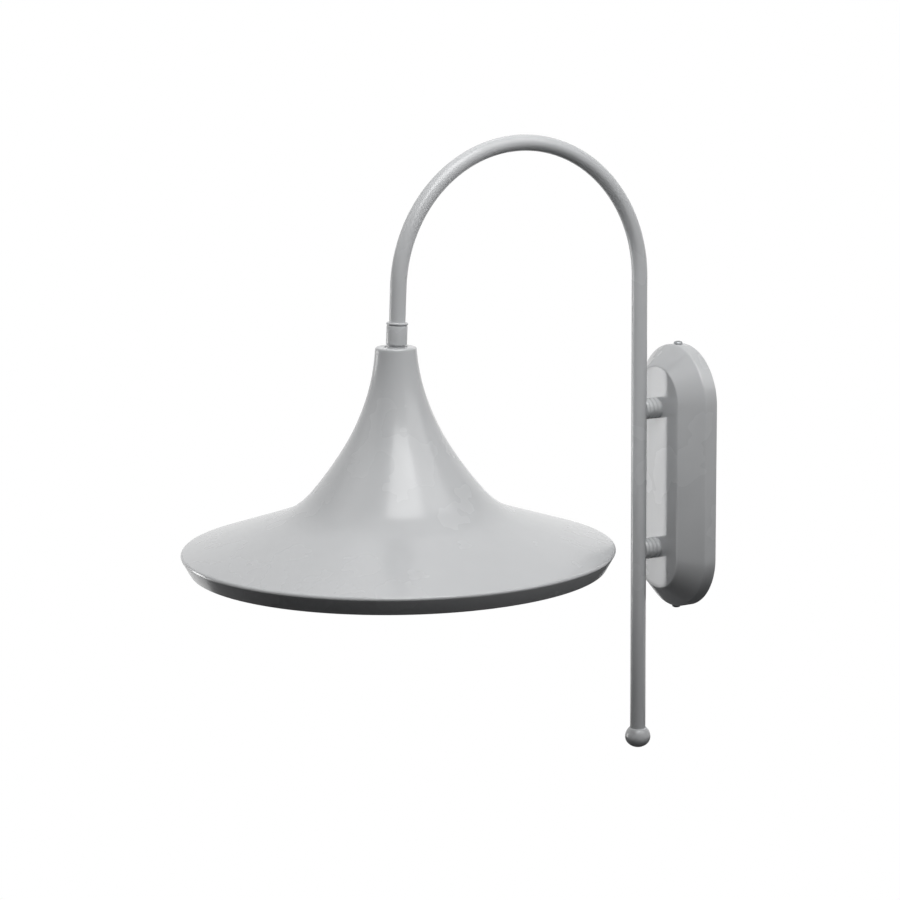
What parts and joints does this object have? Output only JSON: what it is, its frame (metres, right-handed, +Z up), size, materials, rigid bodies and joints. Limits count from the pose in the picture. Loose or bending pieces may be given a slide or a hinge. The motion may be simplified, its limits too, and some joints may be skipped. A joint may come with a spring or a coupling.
{
  "type": "gooseneck wall light",
  "caption": "Indoor gooseneck wall light: oblong wall canopy, arched tube arm with ball finial, and a flared spun metal shade hung loose over a screw-cap lampholder.",
  "frame": {"origin": "centre of the wall bracket's back face, on the wall, midway between its two wall-screw slots", "axes": "+Z up, +Y into the wall, so the arm reaches out along -Y in the plane X = 0"},
  "size_m": [0.3714, 0.4821, 0.5641],
  "materials": {
    "gloss_paint": "gloss paint",
    "steel": "plain zinc-plated",
    "brass": "plain",
    "block_plastic": "matt",
    "holder_plastic": "satin",
    "ceramic": "ceramic, satin",
    "live_lead": "insulation",
    "neutral_lead": "insulation",
    "earth_lead": "insulation"
  },
  "bodies": {
    "arm": {"wall_bracket": "steel", "earth_screw": "brass", "earth_tag": "brass", "terminal_block": "block_plastic", "terminal_barrels": "brass", "terminal_screws": "steel", "block_screw": "steel", "earth_link": "earth_lead", "canopy_cover": "gloss_paint", "cover_screws": "steel", "upper_spacer": "gloss_paint", "lower_spacer": "gloss_paint", "hollow_nipples": "steel", "nipple_washers": "steel", "nipple_nuts": "steel", "nipple_bushing": "block_plastic", "arm_tube": "gloss_paint", "tube_foot_plug": "steel", "ball_finial": "gloss_paint", "collar": "gloss_paint", "stem_nipple": "steel", "shade_seat": "gloss_paint", "stem_lock_nut": "steel", "holder_cap": "holder_plastic", "holder_grub_screw": "steel", "holder_skirt": "holder_plastic", "holder_insert": "ceramic", "screw_shell": "brass", "centre_contact": "brass", "holder_posts": "brass", "holder_post_screws": "steel", "live_lead": "live_lead", "earth_lead": "earth_lead", "neutral_lead": "neutral_lead"},
    "shade": {"shade": "gloss_paint"}
  },
  "joints": [
    {"name": "shade_turn", "type": "hinge", "parent": "arm", "child": "shade", "pos_m": [0, -0.29641, 0.12844], "axis": [0, 0, 1], "continuous": true}
  ]
}
